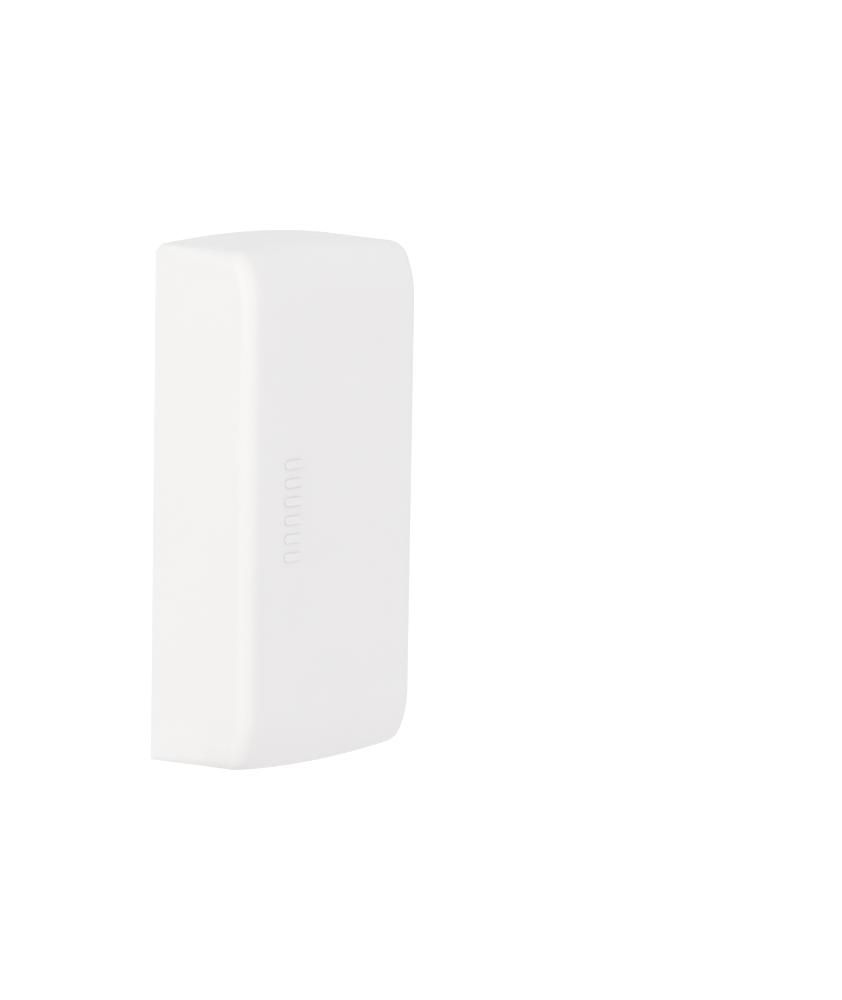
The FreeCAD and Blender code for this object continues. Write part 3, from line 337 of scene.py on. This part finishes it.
def led_white():
    """A white ceramic carrier under a milky yellow lens."""
    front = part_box("status_led")[0].y / MM
    lens_thickness = 0.4
    look = Look("led_lens", 0.2)
    lens = look.math("LESS_THAN", look.axis("Y"), front + lens_thickness)
    milk = look.noise(0.3 * MM, detail=2)
    carrier = look.mottle(milk, (0.72, 0.72, 0.68, 1), (0.82, 0.82, 0.78, 1))
    phosphor = look.mottle(milk, (0.75, 0.6, 0.2, 1), (0.85, 0.74, 0.36, 1))
    look.set("Base Color", look.blend(lens, carrier, phosphor))
    look.set("Roughness", look.spread(milk, 0.12, 0.3))
    look.rounded_edges(0.06 * MM)
    look.bump(milk, 0.003 * MM)
    return look.done()


def pale_glass():
    """The reed switch's green-tinted glass, drawn and slightly wavy."""
    look = Look("reed_glass", 0.04)
    drawn = look.noise(0.9 * MM, detail=2, stretch=(1, 1, 0.3))
    look.set("Base Color", look.mottle(drawn, (0.78, 0.9, 0.8, 1), (0.86, 0.95, 0.88, 1)))
    look.set("Transmission Weight", 1.0)
    look.set("IOR", 1.5)
    look.set("Roughness", look.spread(drawn, 0.02, 0.08))
    look.bump(drawn, 0.01 * MM)
    return look.done()


def bright_solder():
    """Solder joints, tinned pads and legs: bright and slightly pitted."""
    look = Look("solder", 0.22, metallic=1.0)
    grain = look.noise(0.3 * MM, detail=4)
    look.set("Base Color", look.mottle(grain, (0.62, 0.6, 0.54, 1), (0.82, 0.81, 0.78, 1)))
    look.set("Roughness", look.spread(grain, 0.15, 0.32))
    look.bump(grain, 0.01 * MM)
    return look.done()


def plastics():
    """The moulded parts and the cells' sleeves, by material slot."""
    return {
        "cover_plastic": cover_white(),
        # the last factor of each moulded plastic lightens the colour of its edges: a painted highlight
        "base_plastic": moulded_plastic(
            "moulded_white", WHITE, grain=0.3 * MM, depth=0.004 * MM, roughness=0.5, edge_highlight=1.02),
        "holder_plastic": moulded_plastic(
            "holder_black", (0.028, 0.028, 0.031), grain=0.2 * MM, depth=0.008 * MM, roughness=0.48,
            edge_highlight=2.4),
        "switch_case": moulded_plastic(
            "switch_black", SWITCH_BLACK, grain=0.15 * MM, depth=0.006 * MM, roughness=0.45, edge_highlight=2.0),
        "tamper_actuator": moulded_plastic(
            "ivory_nylon", (0.70, 0.66, 0.54), grain=0.2 * MM, depth=0.004 * MM, roughness=0.4),
        "learn_actuator": moulded_plastic(
            "red_nylon", (0.42, 0.03, 0.025), grain=0.2 * MM, depth=0.004 * MM, roughness=0.38,
            edge_highlight=1.4),
        "plunger_plastic": moulded_plastic(
            "white_acetal", (0.78, 0.78, 0.75), grain=0.25 * MM, depth=0.003 * MM, roughness=0.35,
            edge_highlight=1.03),
        "cell_wrap": shrink_film(),
    }


def metals():
    """The plated, drawn and wound metal parts, by material slot."""
    return {
        "zinc_steel": metal("zinc_plate", (0.70, 0.72, 0.75), 0.3),
        "cell_steel": metal("cell_steel", (0.72, 0.72, 0.72), 0.24, stretch=ALONG_Z),
        "contact_nickel": metal("contact_nickel", (0.76, 0.74, 0.70), 0.25, stretch=ALONG_X),
        "shield_tin": metal(
            "tinned_shield", (0.70, 0.71, 0.72), 0.38, stretch=ALONG_X, depth=0.005 * MM),
        "antenna_wire": metal("enamelled_copper", (0.74, 0.36, 0.19), 0.25, stretch=ALONG_X),
        "crystal_can": metal("crystal_can", (0.75, 0.75, 0.76), 0.26, stretch=ALONG_Z),
        "reed_metal": metal("nickel_iron", (0.66, 0.64, 0.60), 0.3, stretch=ALONG_Z),
        "spring_steel": metal("spring_steel", (0.60, 0.60, 0.62), 0.22, edge=0.02 * MM),
    }


def board_parts():
    """The circuit board and the small parts on it, by material slot."""
    return {
        "board_laminate": board_green(),
        "chip_resin": chip_black(),
        "capacitor_ceramic": tin_ended("tan_ceramic", (0.46, 0.32, 0.19), "capacitors"),
        "resistor_body": tin_ended("resistor_film", (0.03, 0.03, 0.034), "resistors"),
        "led_lens": led_white(),
        "reed_glass": pale_glass(),
    }


def assign_materials():
    """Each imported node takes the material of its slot."""
    by_slot = {**plastics(), **metals(), **board_parts()}
    for part in frame["record"]["subparts"]:
        mesh = nodes[part["node"]].data
        mesh.materials.clear()
        mesh.materials.append(by_slot[part["material_slot"]])


# ---------------------------------------------------------------- outlines, in millimetres

def spokes(count):
    """Directions at even steps round a circle, as (across, along)."""
    angles = [math.tau * step / count for step in range(count)]
    return [(math.cos(angle), math.sin(angle)) for angle in angles]


def rectangle(centre_x, centre_z, width, height):
    """The outline of an upright rectangle."""
    left, right = centre_x - width / 2, centre_x + width / 2
    bottom, top = centre_z - height / 2, centre_z + height / 2
    return [(left, bottom), (right, bottom), (right, top), (left, top)]


def corners(centre_x, centre_z, reach_x, reach_z):
    """Four points round a centre."""
    return [(centre_x + side * reach_x, centre_z + up * reach_z) for side in (-1, 1) for up in (-1, 1)]


def ribbon(route):
    """The outline of a track along a route, mitred at its bends."""
    track_width = 0.3
    path = [Vector(point) for point in route]
    left, right = [], []
    for index, point in enumerate(path):
        before = (point - path[index - 1]).normalized() if index > 0 else None
        after = (path[index + 1] - point).normalized() if index + 1 < len(path) else None
        before, after = before or after, after or before
        across = (before.orthogonal() + after.orthogonal()).normalized()
        reach = track_width / 2 / across.dot(before.orthogonal())
        left.append(point + across * reach)
        right.append(point - across * reach)
    return [tuple(point) for point in left + right[::-1]]


# ---------------------------------------------------------------- building thin pieces on the board

def add_loop(shape, outline, level):
    """Corners along an outline of (x, z) in millimetres, all at one y, which is in metres."""
    return [shape.verts.new((x * MM, level, z * MM)) for x, z in outline]


def bridge(shape, one, other):
    """A band of faces between two loops that have as many corners."""
    for index, corner in enumerate(one):
        shape.faces.new((one[index - 1], corner, other[index], other[index - 1]))


def fix_to_board(name, shape, material):
    """Make a piece of the built shape and fix it to the base."""
    bmesh.ops.recalc_face_normals(shape, faces=shape.faces)
    mesh = bpy.data.meshes.new(name)
    shape.to_mesh(mesh)
    shape.free()
    mesh.materials.append(material)
    piece = bpy.data.objects.new(name, mesh)
    bpy.context.scene.collection.objects.link(piece)
    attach(piece, "base")


def add_plates(name, outlines, height, material):
    """Plates that lie on the board, each of an outline and all of one height in millimetres."""
    shape = bmesh.new()
    for outline in outlines:
        foot = add_loop(shape, outline, BOARD_FACE)
        top = add_loop(shape, outline, BOARD_FACE - height * MM)
        shape.faces.new(foot)
        shape.faces.new(top)
        bridge(shape, foot, top)
    fix_to_board(name, shape, material)


def add_turned(name, centres, profile, material):
    """Turned shapes that stand on the board; the profile is a list of (radius, height) in millimetres."""
    shape = bmesh.new()
    for x, z in centres:
        rings = []
        for radius, height in profile:
            outline = [(x + radius * across, z + radius * along) for across, along in spokes(24)]
            rings.append(add_loop(shape, outline, BOARD_FACE - height * MM))
        for lower, upper in zip(rings, rings[1:]):
            bridge(shape, lower, upper)
        shape.faces.new(rings[0])
        shape.faces.new(rings[-1])
    fix_to_board(name, shape, material)


# ---------------------------------------------------------------- tracks, pads and print on the board

def bundle_routes():
    """Tracks beside the reed switch, from above the chip to below the tamper switch."""
    lanes, lane_pitch, first_lane, jog = 4, 0.7, 1.9, 0.6
    start_gap, end_gap, end_stagger = 0.9, 1.6, 0.5
    reed_x, _, _, _ = footprint("reed_glass")
    _, chip_z, _, chip_height = footprint("microcontroller")
    _, switch_z, _, switch_height = footprint("tamper_switch_housing")
    start = chip_z + chip_height / 2 + start_gap
    routes = []
    for lane in range(lanes):
        x = reed_x + first_lane + lane * lane_pitch
        end = switch_z - switch_height / 2 - end_gap - lane * end_stagger
        routes.append([(x - jog, start), (x, start + jog), (x, end - jog), (x - jog, end)])
    return routes


def reed_routes():
    """A track from each end of the reed switch: one down to the chip and one up to the tamper switch."""
    joint_inset, turn_gap, side_step, chip_gap = 0.3, 0.9, 1.6, 0.4
    reed_x, _, _, _ = footprint("reed_glass")
    _, chip_z, _, chip_height = footprint("microcontroller")
    _, switch_z, _, switch_height = footprint("tamper_switch_housing")
    lead_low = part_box("reed_fixed_blade")[0].z / MM
    lead_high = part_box("reed_lead")[1].z / MM
    turn = lead_low - turn_gap
    chip_end = chip_z + chip_height / 2 + chip_gap
    outer_x = reed_x - side_step
    down = [(reed_x, lead_low + joint_inset), (reed_x, turn), (outer_x, turn - side_step),
            (outer_x, chip_end)]
    up = [(reed_x, lead_high - joint_inset), (reed_x, switch_z - switch_height / 2)]
    return [down, up]


def chip_routes():
    """Tracks from the chip's lower end towards the lower edge of the board."""
    lanes, lane_pitch, first_lane = 3, 1.1, -2.4
    start_gap, first_reach, reach_step = 0.5, 1.4, 0.8
    chip_x, chip_z, _, chip_height = footprint("microcontroller")
    chip_bottom = chip_z - chip_height / 2
    routes = []
    for lane in range(lanes):
        x = chip_x + first_lane + lane * lane_pitch
        reach = first_reach + lane * reach_step
        routes.append([(x, chip_bottom - start_gap), (x, chip_bottom - reach)])
    return routes


def brick_routes(node, end):
    """A straight track from the left end of every brick of a row to a height on the board."""
    end_inset, start_gap = 0.3, 0.5
    _, row_z, _, _ = footprint(node)
    lefts = [centre - BRICK_WIDTHS[node] / 2 + end_inset for centre in brick_centres(node)]
    return [[(x, row_z + start_gap), (x, end)] for x in lefts]


def antenna_routes():
    """A track from each side of the shield's upper end to a leg of the antenna."""
    leg_inset, shield_inset = 0.35, 0.8
    coil_x, coil_z, coil_width, coil_height = footprint("antenna_coil")
    shield_x, shield_z, shield_width, shield_height = footprint("radio_shield")
    shield_top = shield_z + shield_height / 2
    leg_z = coil_z - coil_height / 2 + leg_inset
    routes = []
    for side in (-1, 1):
        leg_x = coil_x + side * (coil_width / 2 - leg_inset)
        foot_x = shield_x + side * (shield_width / 2 - shield_inset)
        slope = abs(leg_x - foot_x)
        routes.append([(foot_x, shield_top), (foot_x, leg_z - slope), (leg_x, leg_z)])
    return routes


def brick_pads(node):
    """A tinned pad under each end of every brick of a row."""
    _, row_z, _, brick_height = footprint(node)
    brick_width = BRICK_WIDTHS[node]
    pad_width, overhang = brick_width * 0.4, 0.25
    pad_reach = brick_width / 2 + overhang - pad_width / 2
    return [rectangle(centre + side * pad_reach, row_z, pad_width, brick_height + overhang * 2)
            for centre in brick_centres(node) for side in (-1, 1)]


def leg_pads():
    """A tinned pad under each leg of the chip package."""
    legs_on_a_side, leg_pitch = 6, 0.95
    pad_width, pad_height, overhang = 1.3, 0.55, 0.3
    chip_x, chip_z, chip_width, _ = footprint("microcontroller")
    pad_reach = chip_width / 2 + overhang - pad_width / 2
    lowest = chip_z - leg_pitch * (legs_on_a_side - 1) / 2
    return [rectangle(chip_x + side * pad_reach, lowest + index * leg_pitch, pad_width, pad_height)
            for side in (-1, 1) for index in range(legs_on_a_side)]


def printed_frame(node):
    """Four printed bars round a component."""
    gap, line = 0.35, 0.16
    x, z, width, height = footprint(node)
    width, height = width + gap * 2, height + gap * 2
    bars = []
    for side in (-1, 1):
        bars.append(rectangle(x + side * (width + line) / 2, z, line, height + line * 2))
        bars.append(rectangle(x, z + side * (height + line) / 2, width, line))
    return bars


def add_board_details(solder):
    """Tracks, pads, vias, solder joints and printed outlines on the front of the board."""
    copper_height, pad_height, ink_height = 0.03, 0.039, 0.018
    via_profile = [(0.34, 0), (0.34, 0.04), (0.26, 0.055)]
    joint_profile = [(0.85, 0), (0.8, 0.08), (0.58, 0.22), (0.42, 0.5), (0.36, 0.75)]
    _, shield_z, _, shield_height = footprint("radio_shield")
    wall_switch_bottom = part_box("wall_tamper_housing")[0].z / MM

    bundle, reed, chip, antenna = bundle_routes(), reed_routes(), chip_routes(), antenna_routes()
    bricks = brick_routes("capacitors", shield_z - shield_height / 2)
    bricks += brick_routes("resistors", wall_switch_bottom)
    tracks = [ribbon(route) for route in bundle + reed + chip + bricks + antenna]
    add_plates("board_tracks", tracks, copper_height, masked_copper())

    pads = brick_pads("capacitors") + brick_pads("resistors") + leg_pads()
    add_plates("board_pads", pads, pad_height, solder)

    vias = [end for route in bundle for end in (route[0], route[-1])]
    vias += [route[-1] for route in chip]
    add_turned("board_vias", vias, via_profile, solder)

    joints = [route[0] for route in reed] + [route[-1] for route in antenna]
    add_turned("solder_joints", joints, joint_profile, solder)

    bars = []
    for node in ("tamper_switch_housing", "learn_switch_housing", "wall_tamper_housing", "crystal",
                 "status_led", "radio_shield", "reed_glass"):
        bars += printed_frame(node)
    add_plates("board_legend", bars, ink_height, board_ink())


# ---------------------------------------------------------------- faces, legs and rivets of the switches

def add_switch_plates():
    """A square sheet-metal face with a round hole on each push-button switch."""
    margin, hole_radius, thickness = 0.2, 2.1, 0.15
    shape = bmesh.new()
    for switch in PUSH_SWITCHES:
        x, z, width, _ = footprint(switch + "_housing")
        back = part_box(switch + "_housing")[0].y
        front = back - thickness * MM
        square, hole = [], []
        for across, along in spokes(32):
            # a point of the hole, and the same one pushed out to the square's sides
            reach = (width / 2 - margin) / max(abs(across), abs(along))
            square.append((x + across * reach, z + along * reach))
            hole.append((x + across * hole_radius, z + along * hole_radius))
        outer_back = add_loop(shape, square, back)
        inner_back = add_loop(shape, hole, back)
        outer_front = add_loop(shape, square, front)
        inner_front = add_loop(shape, hole, front)
        bridge(shape, outer_back, inner_back)
        bridge(shape, outer_back, outer_front)
        bridge(shape, outer_front, inner_front)
        bridge(shape, inner_front, inner_back)
    plate = metal("switch_plate", (0.72, 0.72, 0.71), 0.3, stretch=ALONG_Z)
    fix_to_board("switch_plates", shape, plate)


def add_switch_legs(solder):
    """Two flat legs on each side of both push-button switches, which lie on the board."""
    leg_length, leg_width, leg_height, hidden = 1.0, 0.7, 0.3, 0.25
    legs = []
    for switch in PUSH_SWITCHES:
        x, z, width, height = footprint(switch + "_housing")
        leg_reach = width / 2 - hidden + leg_length / 2
        legs += [rectangle(leg_x, leg_z, leg_length, leg_width)
                 for leg_x, leg_z in corners(x, z, leg_reach, height / 3)]
    add_plates("switch_legs", legs, leg_height, solder)


def add_switch_rivets():
    """Four black rivets that hold each switch's face."""
    inset = 0.75
    head_radius, head_height = 0.42, 0.28
    crown_radius, crown_height = 0.3, 0.36
    # the last factor lightens the colour of the rivets' edges: a painted highlight
    black = moulded_plastic(
        "rivet_black", SWITCH_BLACK, grain=0.15 * MM, depth=0.004 * MM, roughness=0.45, edge_highlight=2.0)
    for switch in PUSH_SWITCHES:
        x, z, width, _ = footprint(switch + "_housing")
        foot = (BOARD_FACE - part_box(switch + "_housing")[0].y) / MM
        profile = [(head_radius, foot), (head_radius, foot + head_height),
                   (crown_radius, foot + crown_height)]
        reach = width / 2 - inset
        add_turned(switch + "_rivets", corners(x, z, reach, reach), profile, black)


# ---------------------------------------------------------------- the scene round the object

def direction(azimuth, elevation):
    """Unit vector towards a light or the camera; azimuth 0 is in front and -90 degrees on the left."""
    turn, rise = math.radians(azimuth), math.radians(elevation)
    return Vector((math.sin(turn) * math.cos(rise), -math.cos(turn) * math.cos(rise), math.sin(rise)))


def make_world():
    """Even white studio light from all round."""
    world = bpy.data.worlds.new("studio")
    world.use_nodes = True
    background = world.node_tree.nodes["Background"]
    background.inputs["Color"].default_value = (1, 1, 1, 1)
    background.inputs["Strength"].default_value = 1.0
    bpy.context.scene.world = world


def make_floor():
    """A wide floor just under the case; its even glow leaves no shadow to see on it."""
    half = 20.0
    level = cad_low.z - 0.2 * MM
    outline = [(-half, -half), (half, -half), (half, half), (-half, half)]
    mesh = bpy.data.meshes.new("floor")
    mesh.from_pydata([(x, y, level) for x, y in outline], [], [(0, 1, 2, 3)])
    floor = bpy.data.objects.new("floor", mesh)
    bpy.context.scene.collection.objects.link(floor)
    look = Look("pale_floor", 0.9)
    grain = look.noise(30 * MM, detail=2)
    look.set("Base Color", look.mottle(grain, (0.06, 0.06, 0.06, 1), (0.07, 0.07, 0.07, 1)))
    look.set("Specular IOR Level", 0.0)
    look.set("Emission Color", (1, 1, 1, 1))
    look.set("Emission Strength", 1.0)
    mesh.materials.append(look.done())


def add_softbox(name, azimuth, elevation, distance, size, power, color):
    """A square soft light that faces the object."""
    toward = direction(azimuth, elevation)
    data = bpy.data.lights.new(name, "AREA")
    data.size = size
    data.energy = power
    data.color = color
    light = bpy.data.objects.new(name, data)
    light.location = toward * distance
    light.rotation_mode = "QUATERNION"
    light.rotation_quaternion = toward.to_track_quat("Z", "Y")
    bpy.context.scene.collection.objects.link(light)


def add_softboxes():
    """Two slightly warm lights, on the left and in front, and a weak cool one on the right."""
    add_softbox("left_softbox", azimuth=-90, elevation=12, distance=1.6, size=1.2, power=6.9,
                color=(0.92, 1.0, 0.82))
    add_softbox("front_softbox", azimuth=-32, elevation=20, distance=1.6, size=1.0, power=4.3,
                color=(0.95, 1.0, 0.85))
    add_softbox("right_softbox", azimuth=64, elevation=36, distance=1.4, size=0.9, power=0.7,
                color=(0.85, 0.85, 1.0))


def make_camera():
    """A long lens at the sensor's left front, a little above it; the sensor is left of the middle."""
    azimuth, elevation, roll = -47.6, 7.6, math.radians(0.8)
    distance = 0.7062
    subject = Vector((0, -10.5 * MM, 0))
    right_of_subject = 20.2 * MM
    below_subject = 0.15 * MM

    back = direction(azimuth, elevation)
    level = Vector((0, 0, 1)).cross(back).normalized()
    right = level * math.cos(roll) + back.cross(level) * math.sin(roll)
    up = back.cross(right)
    location = subject + back * distance
    aim = subject + right * right_of_subject - up * below_subject

    backward = (location - aim).normalized()
    right = up.cross(backward).normalized()
    up = backward.cross(right)
    data = bpy.data.cameras.new("camera")
    data.lens = 166.6
    camera = bpy.data.objects.new("camera", data)
    facing = Matrix((right, up, backward)).transposed().to_4x4()
    camera.matrix_world = Matrix.Translation(location) @ facing
    bpy.context.scene.collection.objects.link(camera)
    bpy.context.scene.camera = camera


# ---------------------------------------------------------------- making it all

make_camera()
assign_materials()
solder = bright_solder()
add_board_details(solder)
add_switch_plates()
add_switch_legs(solder)
add_switch_rivets()
make_world()
make_floor()
add_softboxes()
bpy.context.scene.view_settings.view_transform = "Standard"
